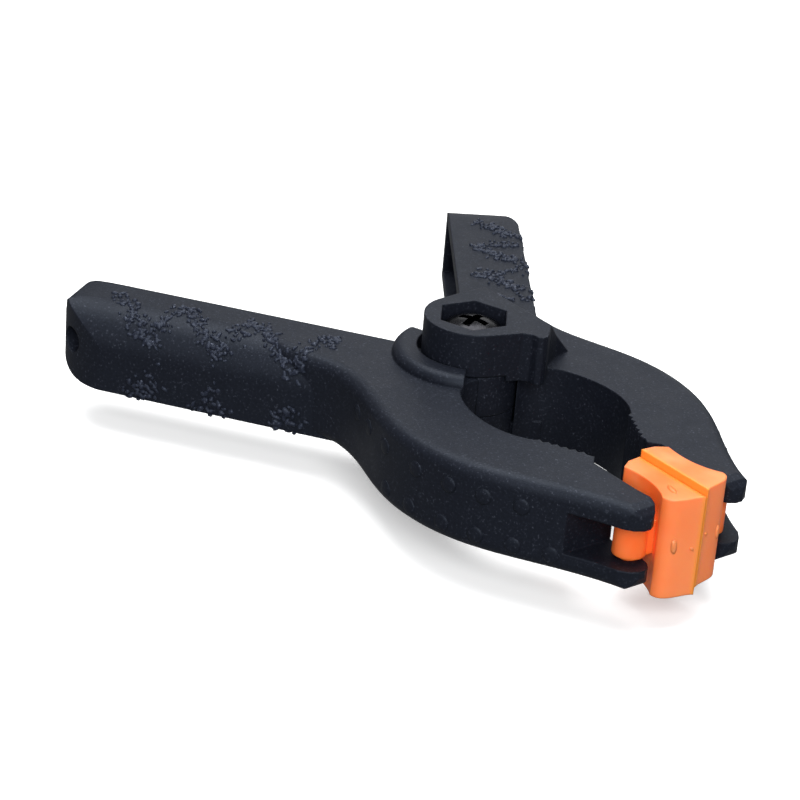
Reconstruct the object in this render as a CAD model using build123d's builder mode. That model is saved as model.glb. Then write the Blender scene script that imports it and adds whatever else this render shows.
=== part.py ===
"""Mini spring clamp: two identical nylon levers on a screw, a torsion spring and two swivel pads.

Frame: +Z along the pivot axis, +X from the pivot to the jaw tips, the origin on the
underside of the lower pivot boss. Lever A (jaw and handle at -Y) is lever B turned half
a turn about the X line at mid height. All sizes in millimetres.
"""

import os
from math import cos, radians, sin

from build123d import *

# --- driving dimensions ------------------------------------------------------
mid_height = 8.4            # from the underside of a boss to the middle plane
half_height = 4.05          # jaws and handles, from the middle plane
jaw_edge_radius = 1.2
handle_edge_radius = 3.9
handle_angle = 145.2        # direction of lever B's handle, from +X
lip_root = (-4.9, 3.15)     # where the handle's inner lip starts
handle_foot = (-1.5, 9.0)   # inside the jaw, where the handle's back starts
handle_length = 33.0        # along the lip
handle_width = 7.4
channel_half_height = 2.9
end_round_start = 29.6      # along the lip, where the top and bottom round off
channel_depth = 5.9
lanyard_radius = 1.3
lanyard_point = (32.7, 5.9)  # on the handle's outer side: along the lip, and outward
lanyard_angle = 38.0        # from straight outward, towards the end

cheek_inner = 1.65          # inner face of the inner cheek, from the middle plane
cheek_gap = 0.1             # between an inner cheek and the boss over it
boss_radius = 4.7
pivot_clearance_radius = 5.0
lobe_slope_start = 5.2      # where the top of the boss turns down towards the jaw's back
lobe_slope_end = 9.4
lobe_root = 0.5             # depth of the lobe's root in the top of the jaw
guard_radii = (3.85, boss_radius)
guard_angle = 68.0
rib_inner_radius = 5.15
rib_outer_radius = 7.4
rib_height = 1.1
rib_rim_radius = 0.95
rib_angles = (43.0, 161.0)

shank_radius = 1.5
running_fit = 0.05
hex_across_flats = 6.1
hex_turn = 20.0             # of the recess, the nut and the drive slots, in degrees
recess_depth = 2.1
head_radius = 2.6
head_height = 1.75
head_rim = 1.1              # height of the head's straight side
screw_foot = 0.4            # the screw's end, above the origin
screw_point = 0.3
drive_width = 0.8
drive_length = 3.0
drive_depth = 1.0
drive_clear = 0.2            # the slots' cut starts this far above the head
nut_across_flats = 5.5
nut_thickness = 1.8
nut_chamfer = 0.25
nut_clearance = 0.02

fork_half_gap = 2.0         # the pad's barrel sits between the two arms
fork_root_x = 25.9
pad_pivot = (29.0, 4.6)     # swivel axis of pad B in plan
barrel_radius = 1.5
barrel_half_height = 1.6
trunnion_radius = 0.85
trunnion_half_height = 2.6
neck_width = 2.4             # between the barrel and the pad's body
neck_start = 2.0             # from the clamp's centre plane, inside the body
socket_half_height = 2.7
pad_half_height = 4.8
pad_lift = 0.35             # pad B rides this much above the middle plane
pad_half_gap = 0.04         # between the closed pad and the clamp's centre plane

tooth_pitch = 0.85
tooth_height = 0.35
wire_radius = 0.4
coil_radius = 3.2
coil_half_height = 1.0
leg_angle = 140.2           # direction of the upper leg, from +X
leg_length = 22.0
leg_way_height = 2.2        # top of the leg's way, above the middle plane
leg_way_points = [(0.8, 2.0), (0.8, 6.2)]

# plan points of lever B
mouth_points = [(4.4, 2.4), (5.2, 5.1), (7.3, 6.5), (10.6, 7.35), (13.6, 7.2), (16.6, 5.75)]
mouth_end = (21.8, 3.1)
relief_points = [(22.7, 3.95), (28.4, 3.95), (29.9, 3.8)]
tip_points = [(30.8, 4.0), (31.4, 4.4), (31.75, 5.0), (31.75, 5.7), (31.3, 6.5)]
tip_nose = [(30.2, half_height), (31.0, 3.8), (31.5, 3.3), (31.8, 2.6)]
back_points = [
    (30.5, 7.15), (24.2, 10.5), (17.2, 14.3), (12.4, 15.4), (6.4, 15.0), (-2.4, 12.75), (-4.6, 12.8),
]
handle_end_points = [(27.0, handle_width), (31.6, 6.6), (34.1, 4.3), (34.5, 1.6), (handle_length, 0)]
channel_points = [
    (8, -2), (31.3, -2), (31.6, 0.5), (32.3, 2.2), (31.4, 3.8), (29.0, 5.0), (25, channel_depth),
]
lobe_points = [
    (4.3, -1.9), (5.4, 1.6), (6.1, 2.2), (6.8, 2.3), (7.2, 2.7), (7.05, 3.3), (6.2, 4.2), (5.0, 5.4),
    (3.9, 7.2), (3.2, 9.6), (-4.7, 9.6), (-4.95, 3.0), (-4.7, 0),
]
pad_back_points = [(25.1, 2.55), (27.4, 2.35), (29.4, 2.65), (31.1, 3.45)]
pad_front_points = [(31.1, 3.45), (31.9, 3.2), (32.5, 1.9), (33.0, pad_half_gap)]


def level(height):
    """Horizontal plane at a height above the middle plane."""
    return Plane.XY.offset(mid_height + height)


def polar(radius, angle):
    """Plan point at a distance and an angle from the pivot."""
    return (radius * cos(radians(angle)), radius * sin(radians(angle)))


def along_handle(distance, outward):
    """Plan point of lever B's handle: distance along the lip, and outward from it."""
    c, s = cos(radians(handle_angle)), sin(radians(handle_angle))
    return (lip_root[0] + distance * c + outward * s, lip_root[1] + distance * s - outward * c)


# the jaw's back runs out along the handle and sinks into it
jaw_end_points = [along_handle(*p) for p in [(7.4, 7.3), (10.0, 6.5), (13.0, 5.1), (16.0, 3.4)]]


def turned(part):
    """The same part on the other lever: half a turn about the X line at mid height."""
    return part.rotate(Axis((0, 0, mid_height), (1, 0, 0)), 180)


def jaw_teeth():
    """Grip teeth along the straight inner edge of the jaw, as plan points."""
    start, end = Vector(*mouth_points[-1]), Vector(*mouth_end)
    run = (end - start).normalized()
    inward = Vector(run.Y, -run.X)
    points = []
    for i in range(int((end - start).length / tooth_pitch)):
        root = start + run * (i * tooth_pitch)
        points.append(root + run * (0.5 * tooth_pitch) + inward * tooth_height)
        points.append(root + run * tooth_pitch)
    return [(p.X, p.Y) for p in points]


# --- lever B -----------------------------------------------------------------
handle_dir = (cos(radians(handle_angle)), sin(radians(handle_angle)), 0)
outward_dir = (handle_dir[1], -handle_dir[0], 0)
handle_start = (*lip_root, mid_height)

with BuildPart() as handle_blank:
    with BuildSketch(level(-half_height)):
        with BuildLine():
            Line(lip_root, along_handle(handle_length, 0))
            Spline(*[along_handle(*p) for p in reversed(handle_end_points)])
            Polyline(
                along_handle(*handle_end_points[0]), along_handle(5, handle_width),
                handle_foot, lip_root,
            )
        make_face()
    extrude(amount=2 * half_height)
    # rounded outer side
    with BuildSketch(Plane(origin=handle_start, x_dir=outward_dir, z_dir=handle_dir)):
        with Locations((handle_width, 0)):
            round_back = Rectangle(
                2 * handle_width, 2 * half_height, align=(Align.MAX, Align.CENTER)
            )
        fillet(round_back.vertices().group_by(Axis(handle_start, outward_dir))[-1], handle_edge_radius)
    extrude(amount=2 * handle_length, both=True, mode=Mode.INTERSECT)
    # rounded end
    with BuildSketch(Plane(origin=handle_start, x_dir=handle_dir, z_dir=outward_dir)):
        with BuildLine():
            Spline(
                (end_round_start, half_height), (34.0, 2.6), (35.1, 0), (34.0, -2.6),
                (end_round_start, -half_height), tangents=((1, 0), (-1, 0)),
            )
            Polyline(
                (end_round_start, -half_height), (-12, -half_height), (-12, half_height),
                (end_round_start, half_height),
            )
        make_face()
    extrude(amount=20, both=True, mode=Mode.INTERSECT)

with BuildPart() as lever_b:
    with BuildSketch(level(-half_height)):
        with BuildLine():
            Spline(*mouth_points)
            Polyline(mouth_points[-1], *jaw_teeth(), mouth_end, *relief_points, *tip_points, back_points[0])
            Spline(*back_points, *jaw_end_points)
            Polyline(jaw_end_points[-1], along_handle(8, 2), lip_root, mouth_points[0])
        make_face()
    extrude(amount=2 * half_height)
    fillet(
        lever_b.edges().filter_by(lambda e: e.length > 30 and e.bounding_box().size.Z < 0.01),
        jaw_edge_radius,
    )
    add(handle_blank.part)

    # room round the pivot for the other lever's inner cheek and the spring
    with BuildSketch(level(-cheek_inner)):
        Circle(pivot_clearance_radius)
    extrude(amount=3 * mid_height, mode=Mode.SUBTRACT)

    # inner cheek, below the middle plane
    with BuildSketch(level(-half_height)):
        Circle(boss_radius)
    extrude(amount=half_height - cheek_inner)

    # guard wall round the spring, on the mouth's side
    with BuildSketch(level(-cheek_inner)):
        with BuildLine():
            for radius in guard_radii:
                CenterArc((0, 0), radius, -guard_angle, 2 * guard_angle)
            for angle in (-guard_angle, guard_angle):
                Line(polar(guard_radii[0], angle), polar(guard_radii[1], angle))
        make_face()
    extrude(amount=cheek_inner - running_fit)

    # guard rib on the outer face of the inner cheek
    with BuildSketch(level(-half_height - rib_height)):
        with BuildLine():
            CenterArc((0, 0), rib_outer_radius, rib_angles[0], rib_angles[1] - rib_angles[0])
            CenterArc((0, 0), rib_inner_radius, rib_angles[0], rib_angles[1] - rib_angles[0])
            for angle in rib_angles:
                Line(polar(rib_inner_radius, angle), polar(rib_outer_radius, angle))
        make_face()
    extrude(amount=rib_height + half_height - cheek_inner)
    rib_rim = lever_b.edges().filter_by(GeomType.CIRCLE).filter_by(
        lambda e: abs(e.center().Z - (mid_height - half_height - rib_height)) < 0.01
        and e.radius > rib_inner_radius
    )
    fillet(rib_rim, rib_rim_radius)

    # boss over the other lever's cheek, sloping down to the back of the jaw
    with BuildSketch(level(half_height + cheek_gap)):
        Circle(boss_radius)
        with BuildLine():
            Polyline(*lobe_points, close=True)
        make_face()
    extrude(amount=mid_height - half_height - cheek_gap)
    with BuildSketch(level(half_height - lobe_root)):
        with BuildLine():
            Polyline(*lobe_points, close=True)
        make_face()
        Circle(pivot_clearance_radius, mode=Mode.SUBTRACT)
        with Locations((0, -5)):
            Rectangle(30, 10, mode=Mode.SUBTRACT)
    extrude(amount=lobe_root + cheek_gap)
    with BuildSketch(Plane.YZ.offset(-6)):
        with BuildLine():
            Polyline(
                (lobe_slope_start, 2 * mid_height),
                (lobe_slope_end, mid_height + half_height),
                (lobe_slope_end + 1, mid_height + half_height),
                (lobe_slope_end + 1, 2 * mid_height + 1),
                (lobe_slope_start, 2 * mid_height + 1),
                close=True,
            )
        make_face()
    extrude(amount=15, mode=Mode.SUBTRACT)

    # bore and hexagonal recess
    with Locations((0, 0, mid_height)):
        Hole(shank_radius + running_fit)
    with BuildSketch(level(mid_height)):
        RegularPolygon(hex_across_flats / 2, 6, major_radius=False, rotation=hex_turn)
    extrude(amount=-recess_depth, mode=Mode.SUBTRACT)

    # channel of the handle and the spring leg's way into it
    with BuildSketch(level(-channel_half_height)):
        with BuildLine():
            Polyline(*[along_handle(*p) for p in channel_points], along_handle(8, channel_depth), close=True)
        make_face()
    extrude(amount=2 * channel_half_height, mode=Mode.SUBTRACT)
    with BuildSketch(level(-cheek_inner)):
        with BuildLine():
            Polyline(
                *leg_way_points, along_handle(9, channel_depth), along_handle(9, -2), close=True
            )
        make_face()
    extrude(amount=cheek_inner + leg_way_height, mode=Mode.SUBTRACT)

    # lanyard hole, slanting out of the handle's end
    slant = radians(handle_angle - 90 + lanyard_angle)
    with BuildSketch(
        Plane(origin=(*along_handle(*lanyard_point), mid_height), z_dir=(cos(slant), sin(slant), 0))
    ):
        Circle(lanyard_radius)
    extrude(amount=4, both=True, mode=Mode.SUBTRACT)

    # fork for the pad, with a socket for the pad's trunnion in each arm and rounded tips
    with BuildSketch(level(-fork_half_gap)):
        with Locations((fork_root_x, 0)):
            Rectangle(12, 15, align=(Align.MIN, Align.MIN))
    extrude(amount=2 * fork_half_gap, mode=Mode.SUBTRACT)
    with BuildSketch(level(-socket_half_height)):
        with Locations(pad_pivot):
            Circle(trunnion_radius + running_fit)
    extrude(amount=2 * socket_half_height, mode=Mode.SUBTRACT)
    for side in (1, -1):
        with BuildSketch(Plane(origin=(0, 0, mid_height), x_dir=(1, 0, 0), z_dir=(0, -1, 0))):
            with BuildLine():
                nose = [(x, side * z) for x, z in tip_nose]
                Polyline(*nose, (33.0, nose[-1][1]), (33.0, side * 5.0), (30.2, side * 5.0), close=True)
            make_face()
        extrude(amount=-15, mode=Mode.SUBTRACT)

# --- pad B -------------------------------------------------------------------
with BuildPart() as pad_b:
    with BuildSketch(level(pad_lift - pad_half_height)):
        with BuildLine():
            Polyline(pad_front_points[-1], (24.3, pad_half_gap), (24.45, 1.5), pad_back_points[0])
            Spline(*pad_back_points)
            Spline(*pad_front_points)
        make_face()
    extrude(amount=2 * pad_half_height)
    with BuildSketch(level(-barrel_half_height)):
        with Locations(pad_pivot):
            Circle(barrel_radius)
        with Locations((pad_pivot[0], neck_start)):
            Rectangle(neck_width, pad_pivot[1] - neck_start, align=(Align.CENTER, Align.MIN))
    extrude(amount=2 * barrel_half_height)
    with BuildSketch(level(-trunnion_half_height)):
        with Locations(pad_pivot):
            Circle(trunnion_radius)
    extrude(amount=2 * trunnion_half_height)

# --- pivot screw and nut -----------------------------------------------------
head_base = mid_height - recess_depth + running_fit
with BuildPart() as pivot_screw:
    with BuildSketch(Plane.XZ):
        with BuildLine():
            base = mid_height + head_base
            top = base + head_height
            Polyline(
                (0, screw_foot), (shank_radius - screw_point, screw_foot),
                (shank_radius, screw_foot + screw_point), (shank_radius, base),
                (head_radius, base), (head_radius, base + head_rim),
            )
            ThreePointArc((head_radius, base + head_rim), (0.62 * head_radius, top - 0.22), (0, top))
            Line((0, top), (0, screw_foot))
        make_face()
    revolve(axis=Axis.Z)
    with BuildSketch(level(head_base + head_height + drive_clear)):
        Rectangle(drive_length, drive_width, rotation=hex_turn)
        Rectangle(drive_width, drive_length, rotation=hex_turn)
    extrude(amount=-drive_depth - drive_clear, mode=Mode.SUBTRACT)

with BuildPart() as hex_nut:
    with BuildSketch(level(-head_base)):
        RegularPolygon(nut_across_flats / 2, 6, major_radius=False, rotation=-hex_turn)
        Circle(shank_radius + nut_clearance, mode=Mode.SUBTRACT)
    extrude(amount=-nut_thickness)
    chamfer(hex_nut.faces().sort_by(Axis.Z)[0].outer_wire().edges(), nut_chamfer)

# --- torsion spring ----------------------------------------------------------
coil_start = leg_angle - 90          # where the upper leg leaves the coil
turns = 2 + 2 * coil_start / 360
coil = Helix(
    pitch=2 * coil_half_height / turns, height=2 * coil_half_height, radius=coil_radius,
    center=(0, 0, mid_height - coil_half_height),
).rotate(Axis.Z, -coil_start)
with BuildPart() as torsion_spring:
    with BuildLine() as wire_path:
        Line((coil @ 0) - (coil % 0) * leg_length, coil @ 0)
        add(coil)
        Line(coil @ 1, (coil @ 1) + (coil % 1) * leg_length)
    with BuildSketch(Plane(origin=wire_path.wire() @ 0, z_dir=wire_path.wire() % 0)):
        Circle(wire_radius)
    sweep(path=wire_path.wire())

parts = {
    "lever_a": turned(lever_b.part),
    "lever_b": lever_b.part,
    "pad_a": turned(pad_b.part),
    "pad_b": pad_b.part,
    "pivot_screw": pivot_screw.part,
    "hex_nut": hex_nut.part,
    "torsion_spring": torsion_spring.part,
}
os.makedirs("parts", exist_ok=True)
for name, part in parts.items():
    part.label = name
    export_step(part, f"parts/{name}.step")
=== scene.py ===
"""Looks of the mini spring clamp: materials, moulded detail, camera, floor and light."""

import random
from math import cos, pi, radians, sin

import bpy
from mathutils import Matrix, Vector
from mathutils.bvhtree import BVHTree


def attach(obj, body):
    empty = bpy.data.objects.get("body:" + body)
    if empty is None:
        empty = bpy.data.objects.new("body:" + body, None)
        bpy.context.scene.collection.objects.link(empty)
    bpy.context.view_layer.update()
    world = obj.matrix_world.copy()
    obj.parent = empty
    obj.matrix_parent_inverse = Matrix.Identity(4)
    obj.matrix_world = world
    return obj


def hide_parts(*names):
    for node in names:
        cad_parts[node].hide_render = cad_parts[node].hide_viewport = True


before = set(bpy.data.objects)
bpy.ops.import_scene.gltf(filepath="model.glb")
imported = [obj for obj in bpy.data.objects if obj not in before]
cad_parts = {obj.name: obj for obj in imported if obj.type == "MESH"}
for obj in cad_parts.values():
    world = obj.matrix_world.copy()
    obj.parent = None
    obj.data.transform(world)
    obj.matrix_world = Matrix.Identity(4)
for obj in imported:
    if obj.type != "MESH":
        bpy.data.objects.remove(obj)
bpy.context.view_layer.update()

MM = 0.001
MID = 8.4 * MM              # height of the clamp's middle plane


# --- materials ---------------------------------------------------------------
class Nodes:
    """Small helper to build one node material."""

    def __init__(self, name):
        self.material = bpy.data.materials.new(name)
        self.material.use_nodes = True
        self.tree = self.material.node_tree
        self.shader = self.tree.nodes["Principled BSDF"]
        self.coords = self.tree.nodes.new("ShaderNodeTexCoord").outputs["Object"]

    def noise(self, scale, detail=3.0, roughness=0.5):
        """Noise over the object, scale in features per millimetre."""
        node = self.tree.nodes.new("ShaderNodeTexNoise")
        node.inputs["Scale"].default_value = scale / MM
        node.inputs["Detail"].default_value = detail
        node.inputs["Roughness"].default_value = roughness
        self.tree.links.new(self.coords, node.inputs["Vector"])
        return node.outputs["Fac"]

    def ramp(self, value, stops):
        """Colour ramp through (position, colour) stops."""
        node = self.tree.nodes.new("ShaderNodeValToRGB")
        elements = node.color_ramp.elements
        while len(elements) < len(stops):
            elements.new(0.5)
        for element, (position, colour) in zip(elements, stops):
            element.position = position
            element.color = (*colour, 1.0)
        self.tree.links.new(value, node.inputs["Fac"])
        return node.outputs["Color"]

    def spread(self, value, low, high):
        """The value from 0 to 1, mapped to low to high."""
        node = self.tree.nodes.new("ShaderNodeMapRange")
        node.inputs["To Min"].default_value = low
        node.inputs["To Max"].default_value = high
        self.tree.links.new(value, node.inputs["Value"])
        return node.outputs["Result"]

    def bump(self, value, strength, depth_mm, soft_edge_mm=0.0):
        """Bump from a height value, over edges that shade as if rounded by soft_edge_mm."""
        node = self.tree.nodes.new("ShaderNodeBump")
        node.inputs["Strength"].default_value = strength
        node.inputs["Distance"].default_value = depth_mm * MM
        self.tree.links.new(value, node.inputs["Height"])
        if soft_edge_mm:
            bevel = self.tree.nodes.new("ShaderNodeBevel")
            bevel.samples = 6
            bevel.inputs["Radius"].default_value = soft_edge_mm * MM
            self.tree.links.new(bevel.outputs["Normal"], node.inputs["Normal"])
        self.tree.links.new(node.outputs["Normal"], self.shader.inputs["Normal"])

    def band(self, axis, centre_mm, reach_mm):
        """1 on the plane at centre_mm across an object axis, falling to 0 at reach_mm to either side."""
        parts = self.tree.nodes.new("ShaderNodeSeparateXYZ")
        self.tree.links.new(self.coords, parts.inputs["Vector"])
        away = self.tree.nodes.new("ShaderNodeMath")
        away.operation = "SUBTRACT"
        away.inputs[1].default_value = centre_mm * MM
        self.tree.links.new(parts.outputs[axis], away.inputs[0])
        far = self.tree.nodes.new("ShaderNodeMath")
        far.operation = "ABSOLUTE"
        self.tree.links.new(away.outputs[0], far.inputs[0])
        node = self.tree.nodes.new("ShaderNodeMapRange")
        node.inputs["From Max"].default_value = reach_mm * MM
        node.inputs["To Min"].default_value = 1.0
        node.inputs["To Max"].default_value = 0.0
        self.tree.links.new(far.outputs[0], node.inputs["Value"])
        return node.outputs["Result"]

    def mix(self, share, base, other):
        """The base colour, going to a plain other colour by share."""
        node = self.tree.nodes.new("ShaderNodeMix")
        node.data_type = "RGBA"
        self.tree.links.new(share, node.inputs["Factor"])
        self.tree.links.new(base, node.inputs["A"])
        node.inputs["B"].default_value = (*other, 1.0)
        return node.outputs["Result"]

    def feed(self, socket, value):
        """Links a value to a shader input, or sets a constant."""
        if isinstance(value, (int, float, tuple)):
            self.shader.inputs[socket].default_value = value
        else:
            self.tree.links.new(value, self.shader.inputs[socket])


def nylon(name, lift, gloss):
    """Black moulded nylon with a cool sheen, fine speckle and scuffed patches; lift lightens it, which on
    the chips is a painted highlight.
    """
    n = Nodes(name)
    speckle = n.noise(4.2, detail=3.0, roughness=0.7)
    n.feed("Base Color", n.ramp(speckle, [
        (0.3, (0.0045 * lift, 0.0052 * lift, 0.0085 * lift)),
        (0.6, (0.007 * lift, 0.0085 * lift, 0.014 * lift)),
        (0.72, (0.045 * lift, 0.05 * lift, 0.066 * lift)),
    ]))
    n.feed("Roughness", n.spread(n.noise(0.35, detail=5.0), 0.4 * gloss, 0.6 * gloss))
    n.feed("Specular IOR Level", 0.22)
    n.feed("Specular Tint", (0.72, 0.83, 1.0, 1.0))
    n.bump(n.noise(5.5, detail=4.0, roughness=0.65), 0.3, 0.05, soft_edge_mm=0.22)
    return n.material


# the pads' painted highlight bands, in millimetres: yellower where the two pads meet and lighter at their
# front
PAINTED_SHEEN_REACH = 0.5         # either side of the plane where the two pads meet
PAD_FRONT_X = 33.2          # just past the pads' front
PAINTED_FRONT_LIGHT_REACH = 2.6            # back from the pads' front


def pad_plastic():
    """Waxy orange plastic that lets a little light through, with painted highlights: yellower where the two
    pads meet and lighter towards their front.
    """
    n = Nodes("pad_plastic")
    cloud = n.ramp(n.noise(0.25, detail=2.0), [
        (0.3, (1.0, 0.15, 0.02)), (0.55, (1.0, 0.2, 0.045)), (0.75, (1.0, 0.27, 0.09)),
    ])
    # painted highlight: a yellower band on the plane where the pads meet, standing in for the brightly lit
    # strip along that edge
    painted_sheen_share = n.band(1, 0.0, PAINTED_SHEEN_REACH)
    # painted highlight: lighter orange towards the pads' front, standing in for their brightly lit front
    # faces
    with_painted_front_light = n.mix(n.band(0, PAD_FRONT_X, PAINTED_FRONT_LIGHT_REACH), cloud, (1.0, 0.27, 0.09))
    n.feed("Base Color", n.mix(painted_sheen_share, with_painted_front_light, (1.0, 0.29, 0.03)))
    n.feed("Roughness", n.spread(n.noise(1.4, detail=4.0), 0.36, 0.52))
    n.feed("Subsurface Weight", 0.35)
    n.feed("Subsurface Radius", (1.0, 0.3, 0.06))
    n.feed("Subsurface Scale", 1.2 * MM)
    n.bump(n.noise(2.2, detail=3.0), 0.15, 0.05, soft_edge_mm=0.25)
    return n.material


def metal(name, colour, dark, roughness):
    """Metal with a mottled finish."""
    n = Nodes(name)
    n.feed("Metallic", 1.0)
    n.feed("Base Color", n.ramp(n.noise(1.6, detail=5.0, roughness=0.7), [(0.3, dark), (0.65, colour)]))
    n.feed("Roughness", n.spread(n.noise(2.5, detail=4.0), roughness[0], roughness[1]))
    n.bump(n.noise(6.0, detail=3.0), 0.2, 0.03, soft_edge_mm=0.1)
    return n.material


NYLON = nylon("lever_nylon", 1.0, 1.0)
# painted highlight: the chips get the lever's nylon 2.6 times lighter, standing in for their glints
GLINT_PAINTED_CHIP_NYLON = nylon("grip_nylon_painted_glint", 2.6, 0.7)
PAD = pad_plastic()
SCREW = metal("screw_black", (0.03, 0.03, 0.034), (0.012, 0.012, 0.014), (0.18, 0.34))
ZINC = metal("nut_zinc", (0.55, 0.56, 0.58), (0.36, 0.36, 0.38), (0.25, 0.45))
SPRING = metal("spring_wire", (0.5, 0.5, 0.5), (0.3, 0.3, 0.3), (0.2, 0.35))

for node, material in (
    ("lever_a", NYLON), ("lever_b", NYLON), ("pad_a", PAD), ("pad_b", PAD),
    ("pivot_screw", SCREW), ("hex_nut", ZINC), ("torsion_spring", SPRING),
):
    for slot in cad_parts[node].material_slots:
        slot.material = material


# --- moulded detail ----------------------------------------------------------
# the same sizes as in the CAD, in millimetres
HANDLE_ANGLE = 145.2
LIP_ROOT = (-4.9, 3.15)
HANDLE_FLAT = 3.5           # width of the handle's flat top, from the lip
HANDLE_ROUND = 3.9          # radius of its outer side
RAY_START = 9.0             # how far out a ray to the handle's skin starts
COIL_RADIUS = 3.2
COIL_HALF_HEIGHT = 1.0
WIRE_RADIUS = 0.4
LEG_ANGLE = 140.2           # degrees from +X to the upper leg
LEG_LENGTH = 22.0
LEG_START = LEG_ANGLE - 90  # where the upper leg leaves the coil
COIL_SPAN = 2 * 360 + 2 * LEG_START
LEG_COIL = 44               # degrees of coil on each leg, so that no gap opens as the clamp does
LEG_THINNER = 0.97          # keeps a leg's share of coil just inside the coil itself
COIL_STEP = 6               # degrees between points of the coil
LEG_STEP = 4                # the same on a leg

# zigzag bands of chips, in millimetres
CHIP_PERIOD = 7.3           # along the handle
CHIP_FALL = 5.6             # share of the period that falls from crest to trough
CHIP_CREST = 2.4            # across from the lip
CHIP_TROUGH = 8.0
CHIP_FIRST = 29.6           # distance along the handle of the outermost crest
CHIP_ZIGZAGS = 4
CHIP_FALL_COUNT = 96
CHIP_RISE_COUNT = 44
CHIP_SCATTER = 0.5
CHIP_NEAREST = 6.4          # no chips nearer the boss or farther out than these
CHIP_FARTHEST = 30.3
CHIP_FOOT = -0.06           # height of a chip's foot from the skin
CHIP_SIZES = (0.13, 0.28)
CHIP_HEIGHTS = (0.1, 0.24)

chance = random.Random(11)
A_FROM_B = Matrix.Translation((0, 0, 2 * MID)) @ Matrix.Rotation(pi, 4, "X")


class Skin:
    """A CAD node's surface, to seat detail on."""

    def __init__(self, name):
        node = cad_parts[name]
        points = [node.matrix_world @ v.co for v in node.data.vertices]
        self.tree = BVHTree.FromPolygons(points, [tuple(p.vertices) for p in node.data.polygons])

    def seat(self, start, inward):
        """Point and outward normal where a ray in millimetres from the middle plane meets the skin."""
        origin = Vector((start[0], start[1], start[2])) * MM + Vector((0, 0, MID))
        point, normal, _, _ = self.tree.ray_cast(origin, Vector(inward).normalized())
        if point is not None and normal.dot(Vector(inward)) > 0:
            normal = -normal
        return point, normal


class Shell:
    """A mesh that grows one moulded detail at a time."""

    def __init__(self):
        self.points = []
        self.faces = []

    def bump(self, point, normal, rings, sides, rough, stretch=(1.0, 0.0)):
        """Low closed bump: rings are (radius, height) in millimetres from the foot to the top, rough is how
        unevenly its outline wanders, and stretch is its length to width and how far it is turned."""
        across = normal.orthogonal().normalized()
        turn = Matrix.Rotation(stretch[1], 3, normal)
        across = turn @ across
        along = normal.cross(across)
        first = len(self.points)
        wobble = [1 + rough * chance.uniform(-1, 1) for _ in range(sides)]
        for radius, height in rings:
            for k in range(sides):
                a = 2 * pi * k / sides
                r = radius * wobble[k]
                step = across * (r * cos(a) * stretch[0]) + along * (r * sin(a)) + normal * height
                self.points.append(point + step * MM)
        for ring in range(len(rings) - 1):
            low = first + ring * sides
            for k in range(sides):
                m = (k + 1) % sides
                self.faces.append((low + k, low + m, low + sides + m, low + sides + k))
        last = first + (len(rings) - 1) * sides
        self.faces.append(tuple(range(last, last + sides)))
        self.faces.append(tuple(range(first + sides - 1, first - 1, -1)))

    def piece(self, name, material, body, slot, turned, smooth=True):
        """The finished piece, turned over to the other lever if asked."""
        mesh = bpy.data.meshes.new(name)
        place = A_FROM_B if turned else Matrix.Identity(4)
        mesh.from_pydata([place @ p for p in self.points], [], self.faces)
        mesh.polygons.foreach_set("use_smooth", [smooth] * len(mesh.polygons))
        mesh.materials.append(material)
        piece = bpy.data.objects.new(name, mesh)
        bpy.context.scene.collection.objects.link(piece)
        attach(piece, body)


def along_handle(distance, outward):
    """Plan point of lever B's handle in millimetres."""
    c, s = cos(radians(HANDLE_ANGLE)), sin(radians(HANDLE_ANGLE))
    return LIP_ROOT[0] + distance * c + outward * s, LIP_ROOT[1] + distance * s - outward * c


def handle_spot(skin, distance, across, side):
    """Seat on the handle: distance along the lip, and across from it over the flat and round the side."""
    s, c = sin(radians(HANDLE_ANGLE)), cos(radians(HANDLE_ANGLE))
    if across < HANDLE_FLAT:
        return skin.seat((*along_handle(distance, across), side * RAY_START), (0, 0, -side))
    turn = (across - HANDLE_FLAT) / HANDLE_ROUND
    out, lift = sin(turn), cos(turn)
    start = along_handle(distance, HANDLE_FLAT + RAY_START * out)
    return skin.seat((*start, side * RAY_START * lift), (-out * s, out * c, -side * lift))


def grip_chips(skin, shell):
    """Zigzag bands of small sharp chips over the handle's shoulder, above and below."""
    for side in (1, -1):
        for k in range(CHIP_ZIGZAGS):
            top = CHIP_FIRST - CHIP_PERIOD * k
            low = (top - CHIP_FALL, CHIP_TROUGH)
            falling = ((top, CHIP_CREST), low, CHIP_FALL_COUNT)
            rising = (low, (top - CHIP_PERIOD, CHIP_CREST), CHIP_RISE_COUNT)
            for start, end, count in (falling, rising):
                for _ in range(count):
                    t = chance.random()
                    distance = start[0] + (end[0] - start[0]) * t + chance.gauss(0, CHIP_SCATTER)
                    across = start[1] + (end[1] - start[1]) * t + chance.gauss(0, CHIP_SCATTER)
                    size = chance.uniform(*CHIP_SIZES)
                    height = chance.uniform(*CHIP_HEIGHTS)
                    look = (chance.uniform(1.0, 1.9), chance.uniform(0, pi))
                    point, normal = handle_spot(skin, distance, across, side)
                    if point is None or not CHIP_NEAREST < distance < CHIP_FARTHEST:
                        continue
                    rings = [(size, CHIP_FOOT), (size * 0.85, height * 0.55), (size * 0.4, height)]
                    shell.bump(point, normal, rings, sides=6, stretch=look, rough=0.3)


def jaw_studs(skin, shell):
    """Two staggered rows of low round studs on the jaw's back."""
    rows = (                # height from the middle plane, and places along X
        (-1.5, [0.4, 3.4, 7.3, 12.2, 16.0, 19.3, 22.4]),
        (2.4, [8.0, 11.7, 15.6, 18.9, 22.0, 25.0]),
    )
    rings = [(0.86, -0.08), (0.78, 0.03), (0.58, 0.09), (0.3, 0.125), (0.1, 0.13)]
    for height, places in rows:
        for x in places:
            point, normal = skin.seat((x, 30.0, height), (0, -1, 0))
            shell.bump(point, normal, rings, sides=20, rough=0.03)


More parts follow.
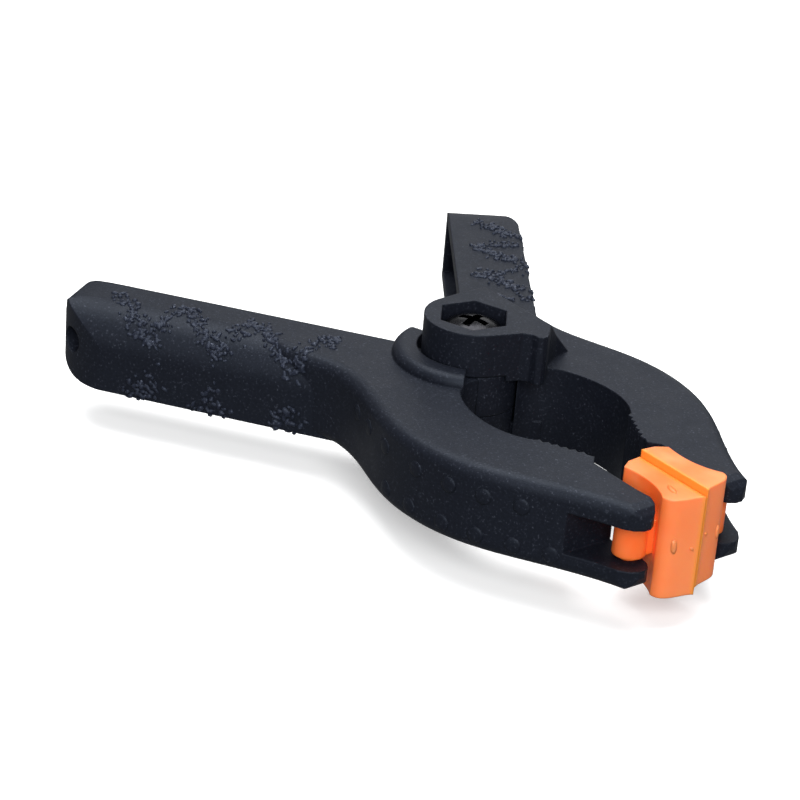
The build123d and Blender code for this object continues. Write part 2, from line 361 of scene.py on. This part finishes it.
skin_b = Skin("lever_b")
chips = Shell()
grip_chips(skin_b, chips)
studs = Shell()
jaw_studs(skin_b, studs)
for lever, turned in (("a", True), ("b", False)):
    chips.piece(f"grip_chips_{lever}", GLINT_PAINTED_CHIP_NYLON, f"lever_{lever}", "lever_nylon", turned, smooth=False)
    studs.piece(f"jaw_studs_{lever}", NYLON, f"lever_{lever}", "lever_nylon", turned)


def pad_marks():
    """Gate scars: a smear and a small nib on each pad's front, and a smear on its upper or lower end."""
    skin = Skin("pad_b")
    marks = Shell()
    front, upward = (-0.93, -0.37, 0), (0, 0, 1)
    # start and direction of the ray that seats it, rings, stretch and turn, sides
    for start, inward, rings, look, sides in (
        ((36.0, 4.0, 0.1), front, [(0.34, -0.05), (0.3, 0.05), (0.14, 0.12)], (2.2, 0.9), 12),
        ((36.4, 2.2, 0.55), front, [(0.16, -0.05), (0.14, 0.05), (0.1, 0.09)], (2.0, 1.57), 8),
        ((30.4, 1.75, -9.0), upward, [(0.3, -0.05), (0.26, 0.05), (0.1, 0.1)], (3.0, 0.5), 12),
    ):
        point, normal = skin.seat(start, inward)
        marks.bump(point, normal, rings, sides, stretch=look, rough=0.15)
    for pad_name, turned in (("a", True), ("b", False)):
        marks.piece(f"gate_marks_{pad_name}", PAD, f"pad_{pad_name}", "pad_plastic", turned)


pad_marks()


# --- torsion spring ----------------------------------------------------------
def wire(name, points, radius, body):
    """Round wire along points in millimetres from the middle plane, as a mesh."""
    curve = bpy.data.curves.new(name, "CURVE")
    curve.dimensions = "3D"
    curve.bevel_depth = radius * MM
    curve.bevel_resolution = 4
    curve.use_fill_caps = True
    spline = curve.splines.new("POLY")
    spline.points.add(len(points) - 1)
    for spot, (x, y, z) in zip(spline.points, points):
        spot.co = (x * MM, y * MM, z * MM + MID, 1.0)
    bent = bpy.data.objects.new(name + "_line", curve)
    mesh = bpy.data.meshes.new_from_object(bent)
    mesh.polygons.foreach_set("use_smooth", [True] * len(mesh.polygons))
    bpy.data.objects.remove(bent)
    mesh.materials.clear()
    mesh.materials.append(SPRING)
    piece = bpy.data.objects.new(name, mesh)
    bpy.context.scene.collection.objects.link(piece)
    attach(piece, body)
    return piece


def coil_point(angle):
    """Point of the coil, angle in degrees from its lower end, which lies at minus the upper end's angle."""
    a = radians(angle - LEG_START)
    height = -COIL_HALF_HEIGHT + 2 * COIL_HALF_HEIGHT * angle / COIL_SPAN
    return (COIL_RADIUS * cos(a), COIL_RADIUS * sin(a), height)


coil_total = int(COIL_SPAN)
leg = (cos(radians(LEG_ANGLE)) * LEG_LENGTH, sin(radians(LEG_ANGLE)) * LEG_LENGTH)
low = [coil_point(0)] + [coil_point(a) for a in range(LEG_STEP, LEG_COIL, LEG_STEP)]
high = [coil_point(a) for a in range(coil_total - LEG_COIL, coil_total, LEG_STEP)]
high.append(coil_point(coil_total))
low_end = (low[0][0] + leg[0], low[0][1] - leg[1], low[0][2])
high_end = (high[-1][0] + leg[0], high[-1][1] + leg[1], high[-1][2])
turns = [coil_point(a) for a in range(0, coil_total + 1, COIL_STEP)]
coil = wire("spring_coil", turns, WIRE_RADIUS, "lever_a")
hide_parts("torsion_spring")
wire("spring_leg_a", [low_end, *low], WIRE_RADIUS * LEG_THINNER, "lever_a")
wire("spring_leg_b", [*high, high_end], WIRE_RADIUS * LEG_THINNER, "lever_b")


# --- camera, floor and light -------------------------------------------------
def look_camera():
    """The main view: azimuth from the front towards +X, elevation, and a slight roll."""
    azimuth, elevation, roll = radians(51.29), radians(25.42), radians(4.75)
    distance = 245.2 * MM
    aim = Vector((-2.26 * MM, -6.22 * MM, MID))
    away = Vector((sin(azimuth) * cos(elevation), -cos(azimuth) * cos(elevation), sin(elevation)))
    camera = bpy.data.objects.new("camera", bpy.data.cameras.new("camera"))
    bpy.context.scene.collection.objects.link(camera)
    camera.data.sensor_width = 36.0
    camera.data.lens = 116.7
    camera.data.clip_start = 0.005
    turn = away.to_track_quat("Z", "Y").to_matrix().to_4x4()
    place = Matrix.Translation(aim + away * distance)
    camera.matrix_world = place @ turn @ Matrix.Rotation(roll, 4, "Z")
    bpy.context.scene.camera = camera


def stage_floor():
    """A plain white floor well past the view, which takes a soft shadow but throws no light up."""
    mesh = bpy.data.meshes.new("floor")
    half = 1.5
    corners = [(-half, -half, 0), (half, -half, 0), (half, half, 0), (-half, half, 0)]
    mesh.from_pydata(corners, [], [(0, 1, 2, 3)])
    floor = bpy.data.objects.new("floor", mesh)
    floor.location.z = -0.02 * MM   # clear of the boss that stands on it
    floor.visible_diffuse = False
    floor.visible_glossy = False
    bpy.context.scene.collection.objects.link(floor)
    n = Nodes("floor_paper")
    n.feed("Base Color", n.ramp(n.noise(0.02), [(0.3, (0.93, 0.93, 0.93)), (0.7, (0.95, 0.95, 0.95))]))
    n.feed("Roughness", 1.0)
    n.feed("Specular IOR Level", 0.0)
    n.feed("Emission Color", (1.0, 1.0, 1.0, 1.0))
    n.feed("Emission Strength", 0.3)
    mesh.materials.append(n.material)


def area_light(name, place, size, power):
    """Soft square light at place, in metres, that points at the clamp's middle."""
    data = bpy.data.lights.new(name, "AREA")
    data.size = size
    data.energy = power
    light = bpy.data.objects.new(name, data)
    bpy.context.scene.collection.objects.link(light)
    light.location = place
    light.rotation_euler = (Vector(place) - Vector((0, 0, MID))).to_track_quat("Z", "Y").to_euler()


look_camera()
stage_floor()
area_light("top", (-0.1, 0.05, 0.5), size=0.5, power=4.0)
area_light("front", (0.4, -0.3, 0.3), size=0.4, power=3.4)
area_light("back", (-0.5, 0.5, 0.22), size=0.4, power=0.3)
world = bpy.data.worlds.new("studio")
world.use_nodes = True
world.node_tree.nodes["Background"].inputs["Color"].default_value = (0.95, 0.97, 1.0, 1.0)
world.node_tree.nodes["Background"].inputs["Strength"].default_value = 0.25
bpy.context.scene.world = world
bpy.context.scene.view_settings.view_transform = "Standard"
